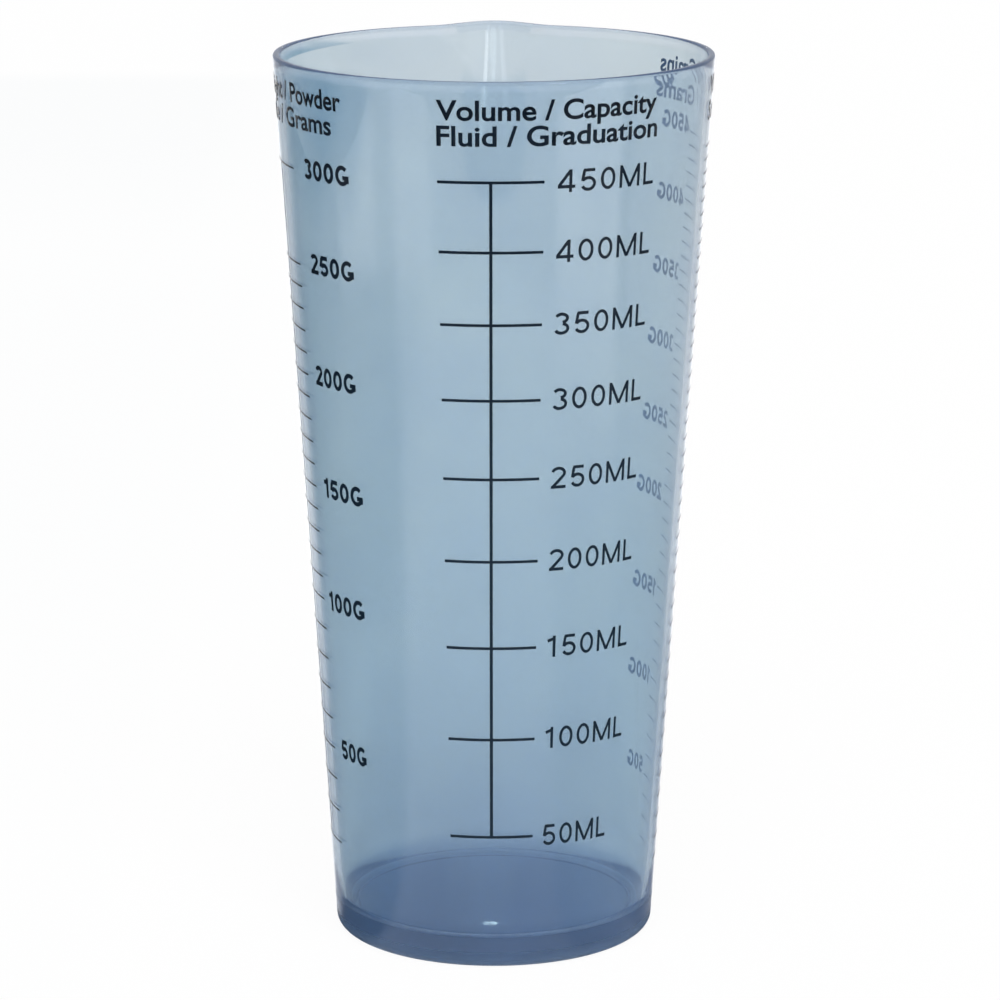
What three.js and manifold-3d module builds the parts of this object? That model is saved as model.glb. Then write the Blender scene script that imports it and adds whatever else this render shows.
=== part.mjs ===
// A tapered see-through measuring cup with a pour spout and three printed scales.
// Millimetres, +Z up. The cup stands on z = 0 with its spout towards +Y.
// The origin is under the middle of the whole part, so the spout's reach puts the cup's own axis
// half that far forward.

import * as THREE from "three";
import { mergeVertices } from "three/addons/utils/BufferGeometryUtils.js";
import Module from "manifold-3d";

// Cup moulding
const HEIGHT = 160;
const RIM_RADIUS = 39; // outside of the wall at the rim
const FOOT_RADIUS = 28.7; // outside of the wall carried straight down to the table
const WALL = 1.3; // square to the wall
const FLOOR_THICKNESS = 4;
const FLOOR_ROUND = 1; // inside corner between floor and wall
const RECESS_DEPTH = 1.2; // hollow under the floor
const RECESS_ROUND = 0.6;
const FOOT_LAND = 1.4; // width of the flat ring that stands on the table
const FOOT_ROUND = 2; // outer bottom edge
const BEAD_HEIGHT = 1.7; // thin raised band round the rim
const BEAD_PROUD = 0.1;
const RIM_ROUND = 0.5;

// Pour spout
const SPOUT_REACH = 5.7; // how far the lip stands out past the round rim
const SPOUT_HALF_WIDTH = 11.6; // at the rim
const SPOUT_ROOT_HALF_WIDTH = 6; // where it fades into the wall
const SPOUT_DEPTH = 42; // from the rim down to where it fades

// Printed scales
const INK_FILM = 0.15;
const INK_CLEARANCE = 0.05; // between the wall and the film
const LINE_WIDTH = 0.5;
const TICK_ANGLE = THREE.MathUtils.degToRad(27.7); // each line's sweep round the cup
const HEADING_BAND = 13.5; // kept free of lines under the rim
const LIQUID_FACING = THREE.MathUtils.degToRad(-0.8); // 0 faces -Y, and more turns towards +X
const FLOUR_FACING = THREE.MathUtils.degToRad(-80.7);
const SUGAR_FACING = THREE.MathUtils.degToRad(91.2);

// What the marks hold, in grams and grams per millilitre
const LIQUID_STEP = 50; // a millilitre of liquid is taken as a gram
const FINE_STEP = 10;
const FINE_START = 20;
const FLOUR_FINE_END = 250;
const FLOUR_STEP = 50; // between numbered lines
const FLOUR_DENSITIES = [0.624, 0.617, 0.654, 0.665, 0.665, 0.674]; // at each numbered line
const SUGAR_DENSITY = 0.985;

// How finely round shapes are cut
const ROUND_SEGMENTS = 96;
const CORNER_DIVISIONS = 2;
const SPOUT_RINGS = 6;
const TICK_DIVISIONS = 3; // each gives two steps along a line

const FLOOR_TOP = RECESS_DEPTH + FLOOR_THICKNESS;
const SLOPE = (RIM_RADIUS - FOOT_RADIUS) / HEIGHT;
const TILT = Math.atan(SLOPE);
const CUBIC_MM_PER_ML = 1000;

const wasm = await Module();
wasm.setup();

function wallRadius(z) {
  return FOOT_RADIUS + SLOPE * z;
}

function boreRadius(z) {
  return wallRadius(z) - WALL / Math.cos(TILT);
}

// The cup's half section: from the axis under the floor, round the foot and up the outside,
// then over the rim and down the inside to the axis again.
function cupProfile() {
  const landRadius = wallRadius(FOOT_ROUND) - FOOT_ROUND / Math.cos(TILT);
  const recessRadius = landRadius - FOOT_LAND;
  const beadBottom = HEIGHT - BEAD_HEIGHT;
  const rimRound = Math.min(RIM_ROUND, (WALL + BEAD_PROUD) / 2);
  const rimOuter = wallRadius(HEIGHT) + BEAD_PROUD;
  const rimInner = boreRadius(HEIGHT);
  const floorCorner = FLOOR_TOP + FLOOR_ROUND;
  const floorRadius = boreRadius(floorCorner) - FLOOR_ROUND / Math.cos(TILT);
  const wallRings = ringHeights(HEIGHT - SPOUT_DEPTH, beadBottom);

  const path = new THREE.Path();
  path.moveTo(0, RECESS_DEPTH);
  path.lineTo(recessRadius - RECESS_ROUND, RECESS_DEPTH);
  path.absarc(
    recessRadius - RECESS_ROUND, RECESS_DEPTH - RECESS_ROUND, RECESS_ROUND, Math.PI / 2, 0, true,
  );
  path.lineTo(recessRadius, 0);
  path.absarc(landRadius, FOOT_ROUND, FOOT_ROUND, -Math.PI / 2, -TILT, false);
  for (const z of wallRings) {
    path.lineTo(wallRadius(z), z);
  }
  path.lineTo(wallRadius(beadBottom) + BEAD_PROUD, beadBottom + BEAD_PROUD);
  path.absarc(rimOuter - rimRound, HEIGHT - rimRound, rimRound, 0, Math.PI / 2, false);
  path.absarc(rimInner + rimRound, HEIGHT - rimRound, rimRound, Math.PI / 2, Math.PI, false);
  for (const z of wallRings.toReversed()) {
    path.lineTo(boreRadius(z), z);
  }
  path.absarc(floorRadius, floorCorner, FLOOR_ROUND, -TILT, -Math.PI / 2, true);
  path.lineTo(0, FLOOR_TOP);
  return path.getPoints(CORNER_DIVISIONS);
}

// Even heights for the rings of wall that the spout bends.
function ringHeights(bottom, top) {
  const rings = [];
  for (let i = 0; i <= SPOUT_RINGS; i++) {
    rings.push(THREE.MathUtils.lerp(bottom, top, i / SPOUT_RINGS));
  }
  return rings;
}

// How far the spout carries the wall outwards at a point of the back half.
function spoutPush(x, z) {
  const depth = Math.min((HEIGHT - z) / SPOUT_DEPTH, 1);
  const halfWidth = THREE.MathUtils.lerp(SPOUT_HALF_WIDTH, SPOUT_ROOT_HALF_WIDTH, depth);
  const aside = Math.min(Math.abs(x) / halfWidth, 1);
  const across = (1 + Math.cos(Math.PI * aside)) / 2;
  return SPOUT_REACH * across * (1 - depth) ** 2;
}

function cupGeometry() {
  const geometry = new THREE.LatheGeometry(cupProfile(), ROUND_SEGMENTS);
  geometry.rotateX(Math.PI / 2);
  const position = geometry.getAttribute("position");
  for (let i = 0; i < position.count; i++) {
    const y = position.getY(i);
    if (y > 0) {
      position.setY(i, y + spoutPush(position.getX(i), position.getZ(i)));
    }
  }
  geometry.computeVertexNormals();
  return geometry;
}

// The height that a volume fills the cup to.
function fillHeight(millilitres) {
  const floorRadius = boreRadius(FLOOR_TOP);
  const cubed = floorRadius ** 3 + (3 * SLOPE * millilitres * CUBIC_MM_PER_ML) / Math.PI;
  return FLOOR_TOP + (Math.cbrt(cubed) - floorRadius) / SLOPE;
}

function sugarHeight(grams) {
  return fillHeight(grams / SUGAR_DENSITY);
}

// Flour packs down as it gets deeper. Between two numbered lines the others are evenly spaced.
function flourHeight(grams) {
  const numbered = grams / FLOUR_STEP;
  const below = Math.floor(numbered);
  if (below === 0) {
    return fillHeight(grams / FLOUR_DENSITIES[0]);
  }
  const above = Math.ceil(numbered);
  const low = fillHeight((below * FLOUR_STEP) / FLOUR_DENSITIES[below - 1]);
  const high = fillHeight((above * FLOUR_STEP) / FLOUR_DENSITIES[above - 1]);
  return THREE.MathUtils.lerp(low, high, numbered - below);
}

// Heights of evenly stepped amounts, as far up as the heading leaves room or as the last amount.
function markHeights(start, step, heightOf, end = Infinity) {
  const heights = [];
  for (let amount = start; amount <= end; amount += step) {
    const z = heightOf(amount);
    if (z > HEIGHT - HEADING_BAND) {
      break;
    }
    heights.push(z);
  }
  return heights;
}

// One line of a scale: a thin arc of ink round the front of the cup.
function tickGeometry(z) {
  const step = TICK_ANGLE / (2 * TICK_DIVISIONS);
  const inner = (wallRadius(z + LINE_WIDTH / 2) + INK_CLEARANCE) / Math.cos(step / 2);
  const left = -Math.PI / 2 - TICK_ANGLE / 2;
  const right = left + TICK_ANGLE;
  const plan = new THREE.Shape();
  plan.absarc(0, 0, inner + INK_FILM, left, right, false);
  plan.absarc(0, 0, inner, right, left, true);
  const geometry = new THREE.ExtrudeGeometry(plan, {
    depth: LINE_WIDTH,
    bevelEnabled: false,
    curveSegments: TICK_DIVISIONS,
  });
  return geometry.translate(0, 0, z - LINE_WIDTH / 2);
}

// The upright line that joins a scale's marks, leaning with the wall.
function spineGeometry(low, high) {
  const middle = (low + high) / 2;
  const stand = wallRadius(middle) + (INK_CLEARANCE + INK_FILM / 2) / Math.cos(TILT);
  const geometry = new THREE.BoxGeometry(LINE_WIDTH, INK_FILM, (high - low) / Math.cos(TILT));
  return geometry.rotateX(TILT).translate(0, -stand, middle);
}

function solidOf(geometry) {
  geometry.deleteAttribute("normal");
  geometry.deleteAttribute("uv");
  const merged = mergeVertices(geometry);
  const mesh = new wasm.Mesh({
    numProp: 3,
    vertProperties: new Float32Array(merged.getAttribute("position").array),
    triVerts: new Uint32Array(merged.index.array),
  });
  return new wasm.Manifold(mesh);
}

function geometryOf(solid) {
  const mesh = solid.getMesh();
  const geometry = new THREE.BufferGeometry();
  geometry.setAttribute("position", new THREE.BufferAttribute(mesh.vertProperties, 3));
  geometry.setIndex(new THREE.BufferAttribute(mesh.triVerts, 1));
  geometry.computeVertexNormals();
  return geometry;
}

function scaleGeometry(heights, facing) {
  const spine = solidOf(spineGeometry(heights[0], heights.at(-1)));
  const ladder = heights.reduce((sum, z) => sum.add(solidOf(tickGeometry(z))), spine);
  return geometryOf(ladder).rotateZ(facing);
}

const cupPlastic = new THREE.MeshStandardMaterial({
  color: 0x9db5c6,
  roughness: 0.2,
  metalness: 0,
  transparent: true,
  opacity: 0.5,
});
const ink = new THREE.MeshStandardMaterial({ color: 0x18222c, roughness: 0.45, metalness: 0 });

const measuringCup = new THREE.Group();
measuringCup.position.y = -SPOUT_REACH / 2;

function addPiece(name, geometry, material) {
  const mesh = new THREE.Mesh(geometry, material);
  mesh.name = name;
  measuringCup.add(mesh);
}

const flourEnd = FLOUR_STEP * FLOUR_DENSITIES.length;
const liquidMarks = markHeights(LIQUID_STEP, LIQUID_STEP, fillHeight);
const flourFineMarks = markHeights(FINE_START, FINE_STEP, flourHeight, FLOUR_FINE_END);
const flourCoarseMarks = markHeights(
  FLOUR_FINE_END + FLOUR_STEP, FLOUR_STEP, flourHeight, flourEnd,
);
const sugarMarks = markHeights(FINE_START, FINE_STEP, sugarHeight);

addPiece("cup_body", cupGeometry(), cupPlastic);
addPiece("liquid_scale", scaleGeometry(liquidMarks, LIQUID_FACING), ink);
addPiece("flour_scale", scaleGeometry([...flourFineMarks, ...flourCoarseMarks], FLOUR_FACING), ink);
addPiece("sugar_scale", scaleGeometry(sugarMarks, SUGAR_FACING), ink);

export default measuringCup;
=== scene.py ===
# %% [markdown]
# # A see-through measuring cup
# The real object is one moulding of clear blue-grey plastic, with three scales printed on it in dark
# ink. This lesson loads the engineering model as a fixed frame and dresses it: a finer cup, thin
# printed lines, numbers and headings, the finishes, and a plain white studio to see it in.

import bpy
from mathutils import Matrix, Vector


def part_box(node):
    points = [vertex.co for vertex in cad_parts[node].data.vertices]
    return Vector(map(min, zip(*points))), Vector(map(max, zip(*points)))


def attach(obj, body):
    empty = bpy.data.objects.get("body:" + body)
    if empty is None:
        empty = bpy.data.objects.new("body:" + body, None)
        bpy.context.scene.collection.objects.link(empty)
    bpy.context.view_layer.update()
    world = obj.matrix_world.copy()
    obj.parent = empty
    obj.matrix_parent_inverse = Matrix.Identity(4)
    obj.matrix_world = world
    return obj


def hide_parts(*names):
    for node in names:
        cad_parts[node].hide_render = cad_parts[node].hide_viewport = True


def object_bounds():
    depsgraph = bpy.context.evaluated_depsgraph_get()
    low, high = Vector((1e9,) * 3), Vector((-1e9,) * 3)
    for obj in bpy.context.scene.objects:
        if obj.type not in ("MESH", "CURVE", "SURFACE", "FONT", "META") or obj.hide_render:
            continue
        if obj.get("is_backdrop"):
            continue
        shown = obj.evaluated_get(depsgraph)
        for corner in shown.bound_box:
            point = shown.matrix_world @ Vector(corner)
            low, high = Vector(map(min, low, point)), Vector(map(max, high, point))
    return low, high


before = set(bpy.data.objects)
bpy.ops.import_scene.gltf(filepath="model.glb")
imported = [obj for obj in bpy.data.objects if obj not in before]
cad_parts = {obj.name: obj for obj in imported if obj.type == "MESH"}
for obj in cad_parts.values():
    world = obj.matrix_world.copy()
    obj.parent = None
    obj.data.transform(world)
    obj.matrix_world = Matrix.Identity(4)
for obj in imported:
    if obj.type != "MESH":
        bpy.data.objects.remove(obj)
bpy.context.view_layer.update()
print("nodes in the frame:", sorted(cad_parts))

# %% Bring in the modelling tools
from math import atan, cbrt, cos, degrees, pi, radians, sin

import bmesh
import bpy
from mathutils import Vector

MM = 0.001
SQUARE = pi / 2  # a right angle
scene = bpy.context.scene
print("Blender", bpy.app.version_string)

# %% [markdown]
# ## Where the cup is
# Blender works in metres and the sizes of a cup are easier to read in millimetres, so every size is
# written with `MM`. The big ones are measured from the frame instead of typed again: the height, the
# rim, the place of the cup's own axis and how far the spout reaches past the round rim.

# %% Measure the cup
cup_low, cup_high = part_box("cup_body")
BEAD_PROUD = 0.1 * MM  # the frame's rim has a thin raised band
HEIGHT = cup_high.z
RIM_RADIUS = cup_high.x - BEAD_PROUD
AXIS_Y = cup_low.y + cup_high.x
SPOUT_REACH = cup_high.y - AXIS_Y - cup_high.x
print(f"cup {HEIGHT / MM:.1f} mm tall, spout reach {SPOUT_REACH / MM:.2f} mm")

# %% The tapered wall
FOOT_RADIUS = 28.7 * MM  # the outside carried straight down to the table
WALL = 1.3 * MM
SLOPE = (RIM_RADIUS - FOOT_RADIUS) / HEIGHT
TILT = atan(SLOPE)


def wall_radius(height):
    return FOOT_RADIUS + SLOPE * height


def bore_radius(height):
    return wall_radius(height) - WALL / cos(TILT)


print(f"the wall leans {degrees(TILT):.2f} degrees")

# %% [markdown]
# ## The camera
# The picture was taken with a long lens, a little above the rim. The camera stands in front of the
# liquid scale and looks slightly down. A long lens keeps the two sides of the cup nearly parallel, as
# they are in the picture, and a tiny shift puts the cup as far left of the middle.

# %% Place the camera
CAMERA_DISTANCE = 787.8 * MM  # level, from the cup's axis
CAMERA_HEIGHT = 264.4 * MM
CAMERA_PITCH = 0.2312  # radians below level
SENSOR = 36
FOCAL_IN_FRAMES = 4.4927  # focal length over the width of the picture
SHIFT = 0.0061

lens = bpy.data.cameras.new("picture_lens")
lens.sensor_width = SENSOR
lens.lens = SENSOR * FOCAL_IN_FRAMES
lens.shift_x = SHIFT
camera = bpy.data.objects.new("picture_camera", lens)
camera.location = (0, AXIS_Y - CAMERA_DISTANCE, CAMERA_HEIGHT)
camera.rotation_euler = (SQUARE - CAMERA_PITCH, 0, 0)
scene.collection.objects.link(camera)
scene.camera = camera
print(f"lens {lens.lens:.1f} mm at {CAMERA_DISTANCE / MM:.0f} mm")

# %% [markdown]
# ## The cup's section
# The cup is a turned shape with a spout pushed into it. Half of its section is drawn like a pen line:
# a straight stretch is a vertex pulled out of the last one, and a rounded corner is a vertex spun about
# the corner's centre. Rounded corners matter more in clear plastic than in wood or metal, because each
# one bends light and shows as a bright or dark line.

# %% A pen for the section
CORNER_STEPS = 8


def line_to(bm, tip, radius, height):
    tip = bmesh.ops.extrude_vert_indiv(bm, verts=[tip])["verts"][0]
    tip.co = (radius, 0, height)
    return tip


def wall_to(bm, tip, radius, height, rings):
    """A straight stretch in even rings, so that it can be bent and shades evenly."""
    start = tip.co.copy()
    end = Vector((radius, 0, height))
    for ring in range(1, rings + 1):
        point = start.lerp(end, ring / rings)
        tip = line_to(bm, tip, point.x, point.z)
    return tip


def turn_about(bm, tip, radius, height, angle):
    """A rounded corner. A positive angle turns counter-clockwise, seen from the front."""
    made = bmesh.ops.spin(
        bm, geom=[tip], cent=(radius, 0, height), axis=(0, -1, 0), angle=angle, steps=CORNER_STEPS
    )
    return made["geom_last"][0]


print(f"a rounded corner has {CORNER_STEPS} steps")

# %% [markdown]
# ## Foot, wall, rim and floor
# The cup stands on a narrow flat ring round a shallow hollow, so that it can't rock. The pen starts on
# the axis in that hollow, goes round the foot, straight up the outside, over the rim and down the inside
# to a thick floor. A point close to each rounded corner of the hollow and the floor keeps the wide flat
# part flat: without it, smooth shading spreads the corner's bend over the whole floor, which then
# mirrors like a dish.

# %% The foot
RECESS_DEPTH = 1.2 * MM  # the hollow under the floor
RECESS_ROUND = 0.6 * MM
FOOT_LAND = 1.4 * MM  # the flat ring that stands on the table
FOOT_ROUND = 2 * MM
FOOT_EDGE = 0.3 * MM


def draw_foot(bm):
    land = wall_radius(FOOT_ROUND) - FOOT_ROUND / cos(TILT)
    recess = land - FOOT_LAND
    tip = bm.verts.new((0, 0, RECESS_DEPTH))
    tip = line_to(bm, tip, recess - 2 * RECESS_ROUND, RECESS_DEPTH)
    tip = line_to(bm, tip, recess - RECESS_ROUND, RECESS_DEPTH)
    tip = turn_about(bm, tip, recess - RECESS_ROUND, RECESS_DEPTH - RECESS_ROUND, -SQUARE)
    tip = line_to(bm, tip, recess, FOOT_EDGE)
    tip = turn_about(bm, tip, recess + FOOT_EDGE, FOOT_EDGE, SQUARE)
    tip = line_to(bm, tip, land, 0)
    return turn_about(bm, tip, land, FOOT_ROUND, SQUARE - TILT)


print(f"foot ring {FOOT_LAND / MM:.1f} mm wide round a hollow {RECESS_DEPTH / MM:.1f} mm deep")

# %% The outside
SPOUT_DEPTH = 42 * MM  # from the rim down to where the spout fades out
SPOUT_ROOT = HEIGHT - SPOUT_DEPTH
RIM_ROUND = 0.5 * MM
LOWER_RINGS = 20
SPOUT_RINGS = 20


def draw_outside(bm, tip):
    tip = wall_to(bm, tip, wall_radius(SPOUT_ROOT), SPOUT_ROOT, LOWER_RINGS)
    top = HEIGHT - RIM_ROUND - RIM_ROUND * sin(TILT)
    return wall_to(bm, tip, wall_radius(top), top, SPOUT_RINGS)


print(f"the spout starts {SPOUT_ROOT / MM:.0f} mm up")


# %% The rim
def draw_rim(bm, tip):
    centre_height = HEIGHT - RIM_ROUND
    outer = tip.co.x - RIM_ROUND * cos(TILT)
    tip = turn_about(bm, tip, outer, centre_height, SQUARE + TILT)
    inner = bore_radius(centre_height + RIM_ROUND * sin(TILT)) + RIM_ROUND * cos(TILT)
    tip = line_to(bm, tip, inner, HEIGHT)
    return turn_about(bm, tip, inner, centre_height, SQUARE - TILT)


print(f"the mouth is {2 * bore_radius(HEIGHT) / MM:.1f} mm across")

# %% The inside and the floor
FLOOR_TOP = 5.2 * MM
FLOOR_ROUND = 2.2 * MM


def draw_inside(bm, tip):
    tip = wall_to(bm, tip, bore_radius(SPOUT_ROOT), SPOUT_ROOT, SPOUT_RINGS)
    corner = FLOOR_TOP + FLOOR_ROUND
    centre = bore_radius(corner) - FLOOR_ROUND / cos(TILT)
    low = corner - FLOOR_ROUND * sin(TILT)
    tip = wall_to(bm, tip, bore_radius(low), low, LOWER_RINGS)
    tip = turn_about(bm, tip, centre, corner, TILT - SQUARE)
    tip = line_to(bm, tip, centre - FLOOR_ROUND, FLOOR_TOP)
    return line_to(bm, tip, 0, FLOOR_TOP)


print(f"the floor is {(FLOOR_TOP - RECESS_DEPTH) / MM:.1f} mm thick")

# %% [markdown]
# ## Turning the section and pushing out the spout
# `spin` turns the section through a full circle. With `use_merge` its last copy joins the first, and
# the vertices on the axis, which all land on one spot, are merged after it. The spout is then pushed
# out of the round wall as a smooth swelling: widest and deepest at the rim, and fading to nothing below.

# %% Turn the section
AROUND = 240
TOUCHING = 0.001 * MM

cup = bmesh.new()
draw_inside(cup, draw_rim(cup, draw_outside(cup, draw_foot(cup))))
bmesh.ops.spin(
    cup, geom=cup.verts[:] + cup.edges[:], cent=(0, 0, 0), axis=(0, 0, 1),
    angle=2 * pi, steps=AROUND, use_merge=True,
)
bmesh.ops.remove_doubles(cup, verts=cup.verts, dist=TOUCHING)
bmesh.ops.recalc_face_normals(cup, faces=cup.faces)
print(f"turned cup: {len(cup.faces)} faces")

# %% Push out the spout
SPOUT_HALF_WIDTH = 11.6 * MM  # at the rim
SPOUT_ROOT_HALF_WIDTH = 6 * MM  # where it fades out


def spout_push(across, height):
    depth = min((HEIGHT - height) / SPOUT_DEPTH, 1)
    half_width = SPOUT_HALF_WIDTH + (SPOUT_ROOT_HALF_WIDTH - SPOUT_HALF_WIDTH) * depth
    aside = min(abs(across) / half_width, 1)
    return SPOUT_REACH * (1 + cos(pi * aside)) / 2 * (1 - depth) ** 2


for vert in cup.verts:
    if vert.co.y > 0:
        vert.co.y += spout_push(vert.co.x, vert.co.z)
bmesh.ops.translate(cup, vec=(0, AXIS_Y, 0), verts=cup.verts)
print(f"spout tip at y = {max(v.co.y for v in cup.verts) / MM:.2f} mm")


# %% Make it a piece
def make_piece(bm, name, slot, *nodes):
    """A finished mesh that moves with the cup and stands for the frame's nodes, if any."""
    mesh = bpy.data.meshes.new(name)
    bm.to_mesh(mesh)
    bm.free()
    piece = bpy.data.objects.new(name, mesh)
    scene.collection.objects.link(piece)
    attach(piece, "root")
    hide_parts(*nodes)
    return piece


clear_cup = make_piece(cup, "clear_cup", "cup_plastic", "cup_body")
clear_cup.data.shade_smooth()
print("clear_cup:", len(clear_cup.data.polygons), "faces")

# %% [markdown]
# ## Where the lines of a scale go
# Each line marks how high a given amount fills the cup. Inside, the cup is a cone, so the height comes
# from the volume of a cone, and the lines draw closer together as the cup widens. A gram of liquid is
# taken as a millilitre. Flour is loose and sugar nearly as heavy as water, so their lines differ.

# %% Amounts to heights
ML = 1e-6  # cubic metres
SUGAR_DENSITY = 0.985  # grams per millilitre
FLOUR_STEP = 50  # grams between numbered lines
FLOUR_DENSITIES = (0.624, 0.617, 0.654, 0.665, 0.665, 0.674)  # at each numbered line


def fill_height(millilitres):
    floor = bore_radius(FLOOR_TOP)
    return FLOOR_TOP + (cbrt(floor**3 + 3 * SLOPE * millilitres * ML / pi) - floor) / SLOPE


def sugar_height(grams):
    return fill_height(grams / SUGAR_DENSITY)


def flour_height(grams):
    """Flour packs down as it gets deeper. The lines between two numbered ones are evenly spaced."""
    below, rest = divmod(grams, FLOUR_STEP)
    if below == 0:
        return fill_height(grams / FLOUR_DENSITIES[0])
    low = fill_height(below * FLOUR_STEP / FLOUR_DENSITIES[below - 1])
    if rest == 0:
        return low
    high = fill_height((below + 1) * FLOUR_STEP / FLOUR_DENSITIES[below])
    return low + (high - low) * rest / FLOUR_STEP


print(f"450 ml stands {fill_height(450) / MM:.1f} mm up")

# %% [markdown]
# ## Printing on a cone
# A printer lays out a scale flat and the machine rolls it round the cup. The same is done here: lines
# and letters are made flat, with x along the print, y up the cup and z through the ink, and are then
# wrapped round the wall. The x of the flat print turns into an angle, so letters get narrower towards
# the foot, as they do on the real cup. Only the spine keeps its width, so it is drawn wider low down.

# %% Flat lines
TICK_STEPS = 24
SPINE_WIDTH = 0.54 * MM


def along(sweep):
    """The length of flat print that wraps through so many degrees."""
    return radians(sweep) * RIM_RADIUS


TICK_SWEEP = along(27.7)


def draw_bar(bm, left, right, low, high, steps=1):
    made = bmesh.ops.create_grid(bm, x_segments=steps, y_segments=1, size=0.5)
    bmesh.ops.scale(bm, vec=(right - left, high - low, 1), verts=made["verts"])
    bmesh.ops.translate(bm, vec=((left + right) / 2, (low + high) / 2, 0), verts=made["verts"])


def draw_ladder(bm, heights, width):
    """A line at each height, and a spine from line to line."""
    for height in heights:
        low, high = height - width / 2, height + width / 2
        draw_bar(bm, -TICK_SWEEP / 2, TICK_SWEEP / 2, low, high, TICK_STEPS)
    for below, above in zip(heights, heights[1:]):
        low, high = below + width / 2, above - width / 2
        half = SPINE_WIDTH / 2 * RIM_RADIUS / wall_radius(below)
        draw_bar(bm, -half, half, low, high)


print(f"a flat line is {TICK_SWEEP / MM:.1f} mm long")

# %% Wrap a flat print round the wall
INK_FILM = 0.02 * MM
INK_SEAT = 0.012 * MM  # keeps the film clear of the wall's flat facets
INK_BACK = 1  # material place of the side that lies on the plastic


def wrap_print(bm, facing):
    back = bm.faces[:]
    film = bmesh.ops.extrude_face_region(bm, geom=back)["geom"]
    raised = [part for part in film if isinstance(part, bmesh.types.BMVert)]
    bmesh.ops.translate(bm, vec=(0, 0, INK_FILM), verts=raised)
    bmesh.ops.recalc_face_normals(bm, faces=bm.faces)
    for face in back:
        face.material_index = INK_BACK
    for vert in bm.verts:
        along_print, height, depth = vert.co
        angle = facing + along_print / RIM_RADIUS
        radius = wall_radius(height) + INK_SEAT + depth
        vert.co = (radius * sin(angle), AXIS_Y - radius * cos(angle), height)


print(f"the ink is {INK_FILM / MM:.2f} mm thick")

# %% The three ladders
LIQUID_FACING = radians(-0.8)  # 0 faces the camera, and more turns to the right
FLOUR_FACING = radians(-80.7)
SUGAR_FACING = radians(91.2)
BROAD, FINE = 0.5 * MM, 0.32 * MM  # lines of the liquid scale, and of the two closer ones

LADDERS = {
    "liquid": (LIQUID_FACING, BROAD, [fill_height(ml) for ml in range(50, 451, 50)]),
    "flour": (FLOUR_FACING, FINE, [flour_height(grams) for grams in [*range(20, 251, 10), 300]]),
    "sugar": (SUGAR_FACING, FINE, [sugar_height(grams) for grams in range(20, 451, 10)]),
}
ink_pieces = []
for name, (facing, width, heights) in LADDERS.items():
    ladder = bmesh.new()
    draw_ladder(ladder, heights, width)
    wrap_print(ladder, facing)
    ink_pieces.append(make_piece(ladder, f"{name}_lines", "scale_ink", f"{name}_scale"))
    print(f"{name}_lines: {len(heights)} lines")

# %% [markdown]
# ## Numbers
# The printed numbers are plain upright strokes of even width, like a sign writer's. Each one is drawn
# here the same way: a stroke is a row of points, along a straight line or part of an oval, and a ribbon
# of faces follows it. A capital is one unit tall, and the sizes below are parts of that.

# %% Strokes
ARC_STEPS = 20
DIGIT = 0.74  # usual width
WIDTHS = {"1": 0.62, "4": 0.8, "M": 1.1, "L": 0.6, "G": 0.9}


def arc(x, y, across, up, start, end):
    """Points along an oval, from one angle to another in degrees."""
    turns = [radians(start + (end - start) * step / ARC_STEPS) for step in range(ARC_STEPS + 1)]
    return [(x + across * cos(turn), y + up * sin(turn)) for turn in turns]


def draw_stroke(bm, points, weight, start):
    """A ribbon of even width along the points, set that far to the right."""
    points = [Vector(point) for point in points]
    rungs = []
    for before, point, after in zip([points[0], *points], points, [*points[1:], points[-1]]):
        aside = (after - before).normalized().orthogonal() * weight / 2
        ends = (point + aside, point - aside)
        rungs.append([bm.verts.new((start + end.x, end.y, 0)) for end in ends])
    for (left, right), (next_left, next_right) in zip(rungs, rungs[1:]):
        bm.faces.new((left, right, next_right, next_left))


print(f"{len(WIDTHS)} letters have a width of their own")


# %% The shapes of the numbers
def strokes_of(letter, weight):
    h = weight / 2
    top, middle, wide = 1 - h, DIGIT / 2, DIGIT / 2 - h
    return {
        "0": [arc(middle, 0.5, wide, 0.5 - h, 0, 360)],
        "1": [[(0.45, 0), (0.45, 1)], [(0.45, 1 - weight), (0.12, 0.76)]],
        "2": [arc(middle, 0.71, wide, 0.29 - h, 165, -35) + [(1.2 * h, h)], [(0, h), (DIGIT, h)]],
        "3": [
            arc(middle, 0.745, wide - 0.03, 0.255 - h, 155, -80),
            arc(middle, 0.285, wide, 0.285 - h, 80, -155),
        ],
        "4": [[(0.58, 0), (0.58, 1)], [(0.57, 0.96), (0.05, 0.28)], [(0, 0.25), (0.8, 0.25)]],
        "5": [
            [(0.14, top), (0.68, top)], [(0.18, top), (0.1, 0.45)],
            arc(middle, 0.33, wide, 0.33 - h, 148, -155),
        ],
        "M": [
            [(h, 0), (h, 1)], [(1.1 - h, 0), (1.1 - h, 1)],
            [(h, 0.97), (0.55, 0.03)], [(1.1 - h, 0.97), (0.55, 0.03)],
        ],
        "L": [[(h, 0), (h, 1)], [(0, h), (0.6, h)]],
        "G": [
            arc(0.46, 0.5, 0.46 - h, 0.5 - h, 45, 322),
            [(0.9 - h, 0.14), (0.9 - h, 0.5)], [(0.48, 0.5 - h), (0.9, 0.5 - h)],
        ],
    }[letter]


def draw_number(words, weight, gap):
    bm = bmesh.new()
    start = 0
    for letter in words:
        for points in strokes_of(letter, weight):
            draw_stroke(bm, points, weight, start)
        start += WIDTHS.get(letter, DIGIT) + gap
    return bm


# %% [markdown]
# ## Letters in place
# A flat print is sized to fill its space beside the lines. Its long faces would stay flat when wrapped,
# so it is first cut into narrow upright strips.

# %% Set a print in place
STRIP = 1 * MM


def span(bm, axis):
    places = [vert.co[axis] for vert in bm.verts]
    return min(places), max(places)


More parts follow.
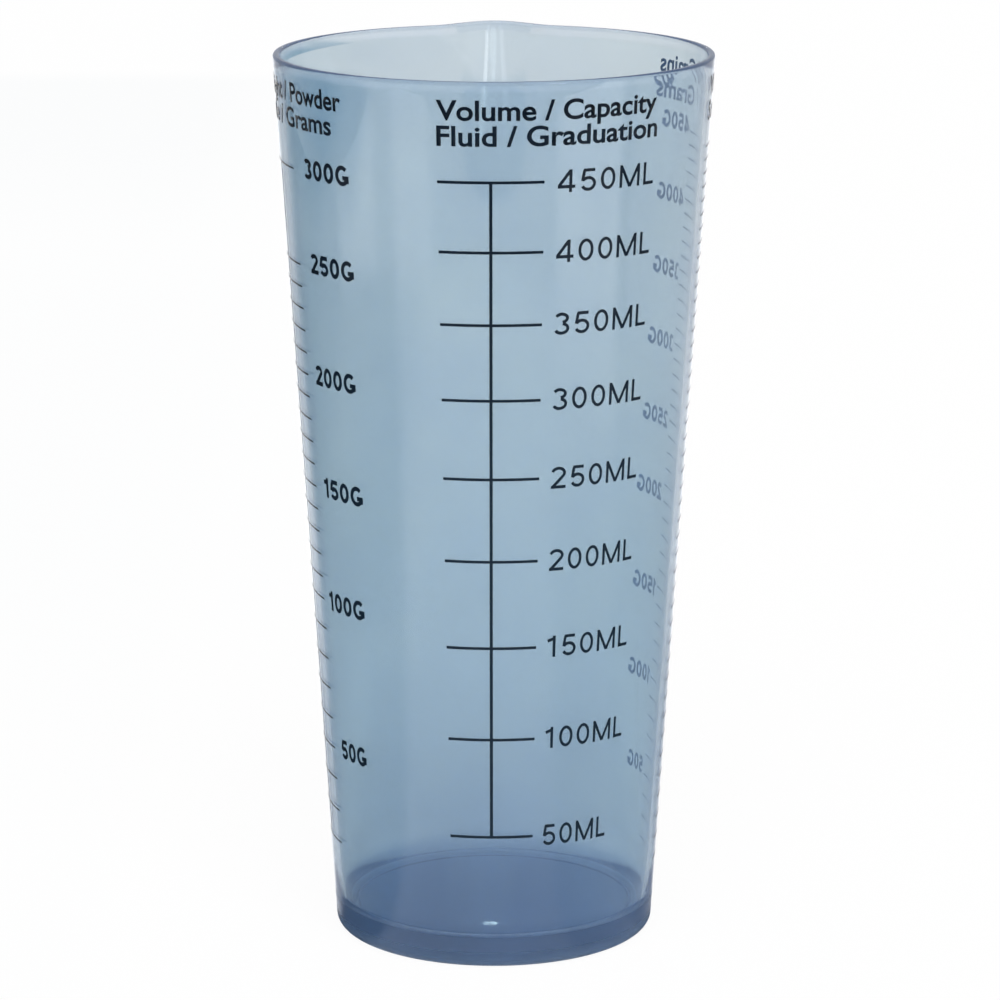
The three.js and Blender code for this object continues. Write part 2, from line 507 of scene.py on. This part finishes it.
def set_print(bm, capital, tall, left, right, low):
    """Gives capitals their height, and stretches the print sideways to fill the space."""
    first, last = span(bm, 0)
    bmesh.ops.translate(bm, vec=(-first, 0, 0), verts=bm.verts)
    size = tall / capital
    bmesh.ops.scale(bm, vec=((right - left) / (last - first), size, 1), verts=bm.verts)
    bmesh.ops.translate(bm, vec=(left, low, 0), verts=bm.verts)
    for strip in range(1, int((right - left) / STRIP) + 1):
        bmesh.ops.bisect_plane(
            bm, geom=bm.verts[:] + bm.edges[:] + bm.faces[:],
            plane_co=(left + strip * STRIP, 0, 0), plane_no=(1, 0, 0),
        )
    return bm


def join(bm, other):
    """Adds another flat print to this one."""
    mesh = bpy.data.meshes.new("print")
    other.to_mesh(mesh)
    other.free()
    bm.from_mesh(mesh)
    bpy.data.meshes.remove(mesh)


# %% Number the scales
REGULAR, BOLD = (0.142, 0.23), (0.215, 0.14)  # weight of a stroke, gap between letters


def number_scale(name, unit, facing, height_of, places, style, tall, digit_sweep, unit_sweep):
    """Numbers beside a scale's lines, each with its gap in degrees and its lift in millimetres."""
    numbers = bmesh.new()
    for amount, (gap, lift) in places.items():
        left = TICK_SWEEP / 2 + along(gap)
        right = left + along(digit_sweep * len(str(amount)) + unit_sweep)
        low = height_of(amount) + lift * MM - tall / 2
        label = draw_number(f"{amount}{unit}", *style)
        join(numbers, set_print(label, 1, tall, left, right, low))
    wrap_print(numbers, facing)
    ink_pieces.append(make_piece(numbers, f"{name}_numbers", "scale_ink"))
    print(f"{name}_numbers: {len(places)} numbers")


LIQUID_PLACES = {amount: (3.5, 0) for amount in range(50, 451, 50)}
FLOUR_PLACES = {
    50: (5.7, 0.7), 100: (4.1, 0.4), 150: (6, 0.7), 200: (5.5, 0.7), 250: (7.1, 1), 300: (7, 0.7),
}
SUGAR_PLACES = {
    50: (2.6, 1.2), 100: (1.6, 0), 150: (2, -0.6), 200: (3, 1.3), 250: (2, -0.2),
    300: (1.8, -0.3), 350: (1.4, -0.6), 400: (1.6, 0), 450: (1.2, 0.9),
}
number_scale(
    "liquid", "ML", LIQUID_FACING, fill_height, LIQUID_PLACES, REGULAR,
    tall=3.9 * MM, digit_sweep=5.45, unit_sweep=13.1,
)
number_scale(
    "flour", "G", FLOUR_FACING, flour_height, FLOUR_PLACES, BOLD,
    tall=3.6 * MM, digit_sweep=4.5, unit_sweep=5.4,
)
number_scale(
    "sugar", "G", SUGAR_FACING, sugar_height, SUGAR_PLACES, BOLD,
    tall=3.2 * MM, digit_sweep=4.1, unit_sweep=5.2,
)

# %% [markdown]
# ## Headings
# The headings are words, so they start as Blender text, which is turned into a mesh at once. Its
# built-in letters are slimmer than the printed ones, so `offset` thickens them.

# %% Flat letters
HEADING_WEIGHT = 0.02
SAME_POINT = 1e-5  # of a line of text


def flat_text(words):
    """The letters as a flat mesh, one unit to the line."""
    text = bpy.data.curves.new(words, "FONT")
    text.body = words
    text.offset = HEADING_WEIGHT
    holder = bpy.data.objects.new(words, text)
    scene.collection.objects.link(holder)
    shown = holder.evaluated_get(bpy.context.evaluated_depsgraph_get())
    bm = bmesh.new()
    bm.from_mesh(shown.to_mesh())
    shown.to_mesh_clear()
    bpy.data.objects.remove(holder)
    bpy.data.curves.remove(text)
    bmesh.ops.remove_doubles(bm, verts=bm.verts, dist=SAME_POINT)
    return bm


capital = flat_text("H")
CAPITAL = span(capital, 1)[1]
capital.free()
print(f"capitals are {CAPITAL:.3f} of a line tall")

# %% Head the scales
HEADING_TALL = 3.4 * MM
HEADING_LOW = (153.5 * MM, 149.1 * MM)

HEADINGS = {  # each line's words and its sweep in degrees
    "liquid": (LIQUID_FACING, ("Volume / Capacity", 60.5), ("Fluid / Graduation", 61.2)),
    "flour": (FLOUR_FACING, ("Weight / Powder", 52), ("Scale / Grams", 48)),
    "sugar": (SUGAR_FACING, ("Weight / Grains", 50), ("Scale / Grams", 50)),
}
for name, (facing, *lines) in HEADINGS.items():
    heading = bmesh.new()
    for (words, sweep), low in zip(lines, HEADING_LOW):
        left = -TICK_SWEEP / 2
        right = left + along(sweep)
        join(heading, set_print(flat_text(words), CAPITAL, HEADING_TALL, left, right, low))
    wrap_print(heading, facing)
    ink_pieces.append(make_piece(heading, f"{name}_heading", "scale_ink"))
    print(f"{name}_heading: {len(lines)} lines")

# %% [markdown]
# ## Shader sums
# A finish is a graph of nodes. `Wire` holds one socket of it, so that sums on wires can be written as
# Python sums, each of which adds a Math node. Every other node comes from `Graph.add`, which takes the
# node's type, its settings and what goes into its sockets.

# %% Wires


class Wire:
    def __init__(self, graph, socket):
        self.graph = graph
        self.socket = socket

    def sum(self, operation, first, second):
        return self.graph.add("ShaderNodeMath", {"operation": operation}, {0: first, 1: second})

    def __add__(self, other):
        return self.sum("ADD", self, other)

    def __sub__(self, other):
        return self.sum("SUBTRACT", self, other)

    def __rsub__(self, other):
        return self.sum("SUBTRACT", other, self)

    def __mul__(self, other):
        return self.sum("MULTIPLY", self, other)

    def __rtruediv__(self, other):
        return self.sum("DIVIDE", other, self)

    def __abs__(self):
        return self.sum("ABSOLUTE", self, 0)

    __radd__ = __add__
    __rmul__ = __mul__


# %% Graphs
class Graph:
    def __init__(self, owner):
        owner.use_nodes = True
        self.tree = owner.node_tree
        self.tree.nodes.clear()

    def add(self, kind, settings=None, sockets=None, output=0):
        node = self.tree.nodes.new(kind)
        for setting, value in (settings or {}).items():
            setattr(node, setting, value)
        for socket, value in (sockets or {}).items():
            if isinstance(value, Wire):
                self.tree.links.new(value.socket, node.inputs[socket])
            else:
                node.inputs[socket].default_value = value
        return Wire(self, node.outputs[output]) if node.outputs else None

    def also(self, wire, output):
        """Another output of the node that a wire comes from."""
        return Wire(self, wire.socket.node.outputs[output])

    def split(self, vector):
        """The x, y and z of a vector."""
        x = self.add("ShaderNodeSeparateXYZ", None, {0: vector})
        return x, self.also(x, "Y"), self.also(x, "Z")

    def ease(self, value, low, high, start, end):
        """Goes smoothly from one number to another as a value rises from low to high."""
        return self.add("ShaderNodeMapRange", {"interpolation_type": "SMOOTHSTEP"}, {
            "Value": value, "From Min": low, "From Max": high, "To Min": start, "To Max": end,
        })

    def between(self, value, low, high, edge):
        """One between two limits and nothing outside them, with a soft edge."""
        rise = self.ease(value, low - edge, low + edge, 0, 1)
        return rise - self.ease(value, high - edge, high + edge, 0, 1)

    def blend(self, factor, start, end):
        """A colour between two others."""
        settings = {"data_type": "RGBA", "clamp_factor": False}
        return self.add("ShaderNodeMix", settings, {"Factor": factor, 6: start, 7: end}, output=2)


# %% [markdown]
# ## The clear plastic
# The cup is clear plastic with a blue-grey tint. Transmission lets light through, and the base colour
# tints it at each surface that it crosses, while a weak Volume Absorption deepens the tint along the way
# inside. One even tint would do for a plain glass. This cup is darker in its thick foot, a little paler
# towards the top and darker at the rim, so its tint follows the height. Just under the rim a pale band
# is a painted highlight, standing in for light from above that the rounded rim catches.

# %% Tint of the plastic
LOWER_TINT = (0.705, 0.82, 0.835, 1)
UPPER_TINT = (0.753, 0.835, 0.826, 1)
FOOT_TINT = (0.44, 0.56, 0.64, 1)
PAINTED_RIM_HIGHLIGHT = (0.82, 0.885, 0.88, 1)
RIM_TINT = (0.67, 0.74, 0.77, 1)

plastic = bpy.data.materials.new("clear_blue_plastic")
graph = Graph(plastic)
place = graph.add("ShaderNodeTexCoord", output="Object")
height = graph.split(place)[2]
tint = graph.blend(graph.ease(height, 30 * MM, 150 * MM, 0, 1), LOWER_TINT, UPPER_TINT)
tint = graph.blend(graph.ease(height, 5 * MM, 9 * MM, 1, 0), tint, FOOT_TINT)
# Painted highlight: the pale band just under the rim stands in for light from above caught by the rim.
tint = graph.blend(graph.ease(height, 157.9 * MM, 158.6 * MM, 0, 1), tint, PAINTED_RIM_HIGHLIGHT)
tint = graph.blend(graph.ease(height, 159.1 * MM, 159.6 * MM, 0, 1), tint, RIM_TINT)
print("finish:", plastic.name)

# %% [markdown]
# ## Polish, frost and haze
# The mould was polished, but not everywhere: the underside is frosted, and the rounded corner of the
# floor is a little dull. Handling has left faint smudges, and the moulded wall ripples slightly, which a
# weak bump shows in its reflections. Used plastic also scatters some light, so a cloudy blue finish is
# mixed in thinly, a little more of it low down.

# %% Roughness and ripples
POLISH = 0.01
SMUDGES = 0.02
UNDERSIDE_FROST = 0.5
CORNER_FROST = 0.2

smudge = graph.add("ShaderNodeTexNoise", None, {"Vector": place, "Scale": 55, "Detail": 3})
ripple = graph.add("ShaderNodeTexNoise", None, {"Vector": place, "Scale": 90, "Detail": 1})
bump = graph.add(
    "ShaderNodeBump", None, {"Strength": 0.03, "Distance": 0.2 * MM, "Height": ripple}
)
corner = graph.ease(height, FLOOR_TOP, 5.5 * MM, 0, 1)
corner *= graph.ease(height, 6.3 * MM, 7.6 * MM, CORNER_FROST, 0)
frosted = graph.ease(height, 1.3 * MM, 4.5 * MM, UNDERSIDE_FROST, 0) + corner
rough = POLISH + SMUDGES * smudge + frosted
print(f"roughness from {POLISH} on the wall to {UNDERSIDE_FROST} under the foot")

# %% Clear and cloudy together
HAZE = 0.07
SMUDGE_HAZE = 0.08
LOW_HAZE = 0.03

clear = graph.add("ShaderNodeBsdfPrincipled", None, {
    "Base Color": tint,
    "Roughness": rough,
    "IOR": 1.5,
    "Transmission Weight": 1,
    "Normal": bump,
})
cloudy = graph.add("ShaderNodeBsdfPrincipled", None, {
    "Base Color": (0.22, 0.4, 0.8, 1),
    "Roughness": 0.6,
    "Specular IOR Level": 0,
})
haze = HAZE + SMUDGE_HAZE * smudge + graph.ease(height, 10 * MM, 120 * MM, LOW_HAZE, 0)
surface = graph.add("ShaderNodeMixShader", None, {0: haze, 1: clear, 2: cloudy})
inside = graph.add("ShaderNodeVolumeAbsorption", None, {
    "Color": (0.2, 0.4, 0.6, 1),
    "Density": 30,
})
graph.add("ShaderNodeOutputMaterial", None, {"Surface": surface, "Volume": inside})
clear_cup.data.materials.append(plastic)
print("clear_cup wears", plastic.name)

# %% [markdown]
# ## The ink
# From outside the ink is blue-black and covers well. From inside, through the plastic, its back looks
# pale and bluish; that pale colour is painted light, standing in for the light that the hazy plastic and
# the thin ink let through. One finish can't be both, so each print has two: its front, and the back that
# `wrap_print` marked. The ink is paler lower down and darkest in the headings; on the back, the paling
# lower down is painted light as well. A fine noise breaks up its colour and its gloss.


# %% Ink finish
def make_ink(name, dark, light):
    ink = bpy.data.materials.new(name)
    graph = Graph(ink)
    place = graph.add("ShaderNodeTexCoord", output="Object")
    height = graph.split(place)[2]
    mottle = graph.add("ShaderNodeTexNoise", None, {"Vector": place, "Scale": 900, "Detail": 2})
    # Paler lower down; on the back this paling is painted light.
    paleness = 0.4 * mottle + graph.ease(height, 75 * MM, 150 * MM, 1.6, 0.25)
    paleness -= graph.ease(height, 152.5 * MM, 154 * MM, 0, 0.95)  # the headings
    shader = graph.add("ShaderNodeBsdfPrincipled", None, {
        "Base Color": graph.blend(paleness, dark, light),
        "Roughness": 0.08 + 0.1 * mottle,
        "Specular IOR Level": 0.12,
    })
    graph.add("ShaderNodeOutputMaterial", None, {"Surface": shader})
    print("finish:", ink.name)
    return ink


ink_front = make_ink("blue_black_ink", (0.003, 0.008, 0.015, 1), (0.005, 0.012, 0.021, 1))
# The back's pale colours are painted light: light that the hazy plastic and the thin ink let through.
ink_back = make_ink("ink_from_behind", (0.19, 0.25, 0.35, 1), (0.47, 0.56, 0.69, 1))
for piece in ink_pieces:
    piece.data.materials.append(ink_front)
    piece.data.materials.append(ink_back)

# %% [markdown]
# ## The studio
# What surrounds clear plastic is most of its look. The picture's background is plain white, but a cup
# that mirrors the same white all round looks flat. The Light Path node tells apart the camera's own
# rays, those let through the cup and those mirrored by it, so each kind can find its own surround while
# the light on the object stays plain. Is Glossy Ray also counts the rays let through, so those are
# taken off.

# %% White surround
WHITE = (1, 1, 1, 1)
PLAIN_LIGHT = 0.5  # what falls on the cup from all round
BRIGHT_SIDE = Vector((0.5, 0.8, 0.4)).normalized()


def ray_kinds(graph):
    """The camera's own rays, those let through and those mirrored."""
    direct = graph.add("ShaderNodeLightPath", output="Is Camera Ray")
    through = graph.also(direct, "Is Transmission Ray")
    return direct, through, graph.also(direct, "Is Glossy Ray") - through


world = bpy.data.worlds.new("white_studio")
scene.world = world
graph = Graph(world)
direct, through, mirrored = ray_kinds(graph)
toward = graph.add("ShaderNodeTexCoord", output="Generated")
upward = graph.split(toward)[2]
sideways = graph.add(
    "ShaderNodeVectorMath", {"operation": "DOT_PRODUCT"}, {0: toward, 1: BRIGHT_SIDE}, "Value"
)
# Rays let through find it bright low down and overhead, and mirrored ones brighter at the back right.
beyond = 0.15 + graph.ease(upward, -0.15, 0, 0.7, 0) + graph.ease(upward, 0.4, 0.8, 0, 0.85)
strength = direct + through * beyond + mirrored * graph.ease(sideways, -0.6, 0.2, 0.2, 0.6)
strength += (1 - direct - through - mirrored) * PLAIN_LIGHT
background = graph.add("ShaderNodeBackground", None, {"Color": WHITE, "Strength": strength})
graph.add("ShaderNodeOutputWorld", None, {"Surface": background})
print("surround:", world.name)

# %% [markdown]
# ## The white floor
# The floor is one big white sheet. Its finish knows where on the sheet a ray lands: `across` to the
# right, `back` away from the camera, `reach` from the cup, all in metres, and `bearing` in radians, 0
# towards the camera and more to the right.

# %% Places on the floor
FOOT_REACH = 29 * MM

paper = bpy.data.materials.new("white_paper")
graph = Graph(paper)
direct, through, mirrored = ray_kinds(graph)
place = graph.add("ShaderNodeNewGeometry", output="Position")
across, back, _ = graph.split(place)
reach = graph.add("ShaderNodeVectorMath", {"operation": "LENGTH"}, {0: place}, "Value")
side = abs(across)
ahead = AXIS_Y - back
bearing = graph.add("ShaderNodeMath", {"operation": "ARCTAN2"}, {0: across, 1: ahead})
outward = abs(bearing) + FOOT_REACH / reach
print("finish:", paper.name)

# %% [markdown]
# ## What the wall mirrors
# Each strip of the wall mirrors the floor at one bearing, and the higher up the wall, the further away.
# The real wall shows soft upright bands of light and shade, so the floor glows in panels: each lies
# between two bearings, and its glow changes from one reach to another.

# %% Glowing panels
PANELS = (  # bearings and their soft edge, then two reaches, then the glow at each
    (-1.6, -1.15, 0.07, 0.44, 0.5, 0, 0.9),
    (-0.95, -0.6, 0.06, 0.4, 0.46, 0, 0.3),
    (-0.56, 0.56, 0.07, 0.4, 0.46, 0, -0.5),
    (0.6, 1.22, 0.08, 0.22, 0.5, -0.4, 0.9),
    (1.2, 1.34, 0.05, 0.38, 0.46, 0, -0.45),
)
glow = graph.ease(bearing, -1.02, -0.85, 0.05, 0.85)  # dark on the far left
for left, right, soft, nearer, further, start, end in PANELS:
    panel = graph.between(bearing, left, right, soft)
    glow += panel * graph.ease(reach, nearer, further, start, end)
glow -= graph.ease(bearing, 1.15, 1.35, 0, 1) * graph.ease(reach, 0.2, 0.5, 0.6, 0.1)  # far right
print(f"{len(PANELS)} panels of light and shade")

# %% [markdown]
# ## What the silhouette mirrors
# Where the wall turns away from the camera it mirrors the floor beside and behind the cup, and mirrors
# it almost fully: that is why clear things have a light outline. `outward` picks out that part of the
# floor. Its glow is less low down, and less on the right. Half a metre in front of the cup the floor
# turns dim.

# %% Light outline
DIM_FROM, DIM_FULLY = 0.503, 0.507
DIM_GLOW = 0.2

outline = graph.ease(reach, 0.12, 0.28, 0.65, 1.15) - graph.ease(reach, 0.3, 0.5, 0, 0.35)
outline += graph.ease(outward, 2.7, 3, 0, 0.7)
outline -= graph.ease(across, -0.01, 0.01, 0, 0.3) * graph.ease(reach, 0.34, 0.42, 1, 0)
glow += graph.ease(outward, 2.34, 2.65, 0, 1) * (outline - glow)
glow += graph.ease(ahead, DIM_FROM, DIM_FULLY, 0, 1) * (DIM_GLOW - glow)
print(f"dim from {DIM_FROM} m in front")

# %% [markdown]
# ## What shows through the plastic
# Through the wall the floor isn't evenly white. Soft shades lie on it, further left and further back,
# and the foot is darkest in front. The shades are in the floor's own colour, which the lamps light. A
# share of plain glow, `fill`, is added where the picture is lighter: just behind the cup, beside it, and
# far back on the right.

# %% Shades on the floor
PAPER = (0.9, 0.9, 0.9, 1)
SHADE = (0.782, 0.81, 0.826, 1)

near = graph.ease(across, -0.036, -0.022, 1, 0) * graph.ease(back, 0.1, 0.3, 0, 1)
near *= graph.ease(back, 0.6, 0.72, 1, 0)
far = graph.ease(across, -0.082, -0.066, 1, 0) + graph.ease(across, -0.12, -0.084, 0.8, 0)
far *= graph.ease(back, 0.6, 1, 0.7, 2.7)
far *= graph.ease(back, 1.1, 1.15, 1, 0)
far += graph.ease(across, -0.09, -0.03, 0.45, 0) * graph.ease(back, 1.12, 1.18, 0, 1)
wide, deep = across * 47, (back - 1.03) * 4.2  # of an oval a metre back, one unit out at its edge
spot = graph.ease(wide * wide + deep * deep, 0.8, 1.2, 1.1, 0)
spot *= graph.ease(back, 1.08, 1.13, 1, 0)
under = graph.ease(back, -0.03, 0.01, 4.3, 0) * graph.ease(reach, 0.026, 0.032, 1, 0)
shaded = graph.blend(near + far + spot + under, PAPER, SHADE)
print("paper", PAPER[:3], "shades to", SHADE[:3])

# %% Light behind the plastic
fill = graph.ease(back, -0.01, 0.045, 0, 0.3) - graph.ease(back, 0.045, 0.1, 0, 0.12)
fill -= graph.ease(back, 0.08, 0.25, 0, 0.18)
edges = graph.ease(side, 0.008, 0.026, 0, 0.14) + graph.ease(across, 0.004, 0.02, 0, 0.16)
fill += edges * graph.ease(back, 0.03, 0.06, 1, 0)
fill += graph.ease(back, 1.1, 1.2, 0, 0.15) * graph.ease(across, -0.08, 0.06, 0.3, 2.6)
beside = graph.ease(back, 0.1, 0.3, 1, 0) - graph.ease(back, 0.03, 0.05, 0, 0.4)
beside += graph.ease(back, 0.08, 0.12, 0, 0.4)
fill += graph.ease(side, 0.028, 0.038, 0, 0.5) * beside

# %% Lay the floor
FLOOR_GAP = 0.1 * MM
FLOOR_FRONT, FLOOR_BACK = -3, 3
FLOOR_LEFT, FLOOR_RIGHT = -0.6, 3
PLAIN_WHITE = 0.95  # of what the camera sees, so that a trace of shadow stays

lit = graph.add("ShaderNodeBsdfDiffuse", None, {"Color": shaded})
white = graph.add("ShaderNodeEmission", None, {
    "Color": WHITE, "Strength": direct + through + mirrored * glow,
})
share = PLAIN_WHITE * direct + mirrored + through * fill
shown = graph.add("ShaderNodeMixShader", None, {0: share, 1: lit, 2: white})
graph.add("ShaderNodeOutputMaterial", None, {"Surface": shown})

sheet = bmesh.new()
draw_bar(sheet, FLOOR_LEFT, FLOOR_RIGHT, FLOOR_FRONT, FLOOR_BACK)
bmesh.ops.translate(sheet, vec=(0, 0, -FLOOR_GAP), verts=sheet.verts)
floor_mesh = bpy.data.meshes.new("white_floor")
sheet.to_mesh(floor_mesh)
sheet.free()
floor_mesh.materials.append(paper)
white_floor = bpy.data.objects.new("white_floor", floor_mesh)
scene.collection.objects.link(white_floor)
white_floor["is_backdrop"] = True
print("floor:", white_floor.name)

# %% [markdown]
# ## Lamps
# Two soft lamps in front, left and right, put faint glints on the wall. A tiny one far behind the cup
# makes the single bright spot on its floor. Most of the light comes from a broad window, in front and
# above: a Sun with a wide angle, hidden from reflections, where it would show as a disc.


# %% Soft lamps
def aim_at_cup(holder):
    aim = Vector((0, AXIS_Y, HEIGHT / 2)) - holder.location
    holder.rotation_euler = aim.to_track_quat("-Z", "Y").to_euler()
    scene.collection.objects.link(holder)


def soft_lamp(name, place, size, power):
    lamp = bpy.data.lights.new(name, "AREA")
    lamp.shape = "RECTANGLE"
    lamp.size, lamp.size_y = size
    lamp.energy = power
    holder = bpy.data.objects.new(name, lamp)
    holder.location = place
    aim_at_cup(holder)
    print(f"{name}: {power} W")


soft_lamp("left_strip", (-0.72, -0.96, 0.55), (0.3, 0.4), 0.4)
soft_lamp("right_strip", (0.64, -1.02, 0.55), (0.25, 0.4), 1)
soft_lamp("far_lamp", (-0.0026, 1, 0.374), (9 * MM, 4 * MM), 0.0012)

# %% Window
WINDOW_STRENGTH = 2.4
WINDOW_ANGLE = radians(50)

window = bpy.data.lights.new("window", "SUN")
window.energy = WINDOW_STRENGTH
window.angle = WINDOW_ANGLE
holder = bpy.data.objects.new("window", window)
holder.location = (0.15, -2, 2.1)
holder.visible_glossy = False
aim_at_cup(holder)
print(f"window: strength {WINDOW_STRENGTH}")

# %% [markdown]
# ## Colours and size
# The Standard view shows colours about as they are written. At the end the dressed cup is measured.

# %% Colours as they are written
scene.view_settings.view_transform = "Standard"
print("view:", scene.view_settings.view_transform)

# %% Measure the finished object
low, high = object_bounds()
print("visual size:", [round(side / MM, 2) for side in high - low])
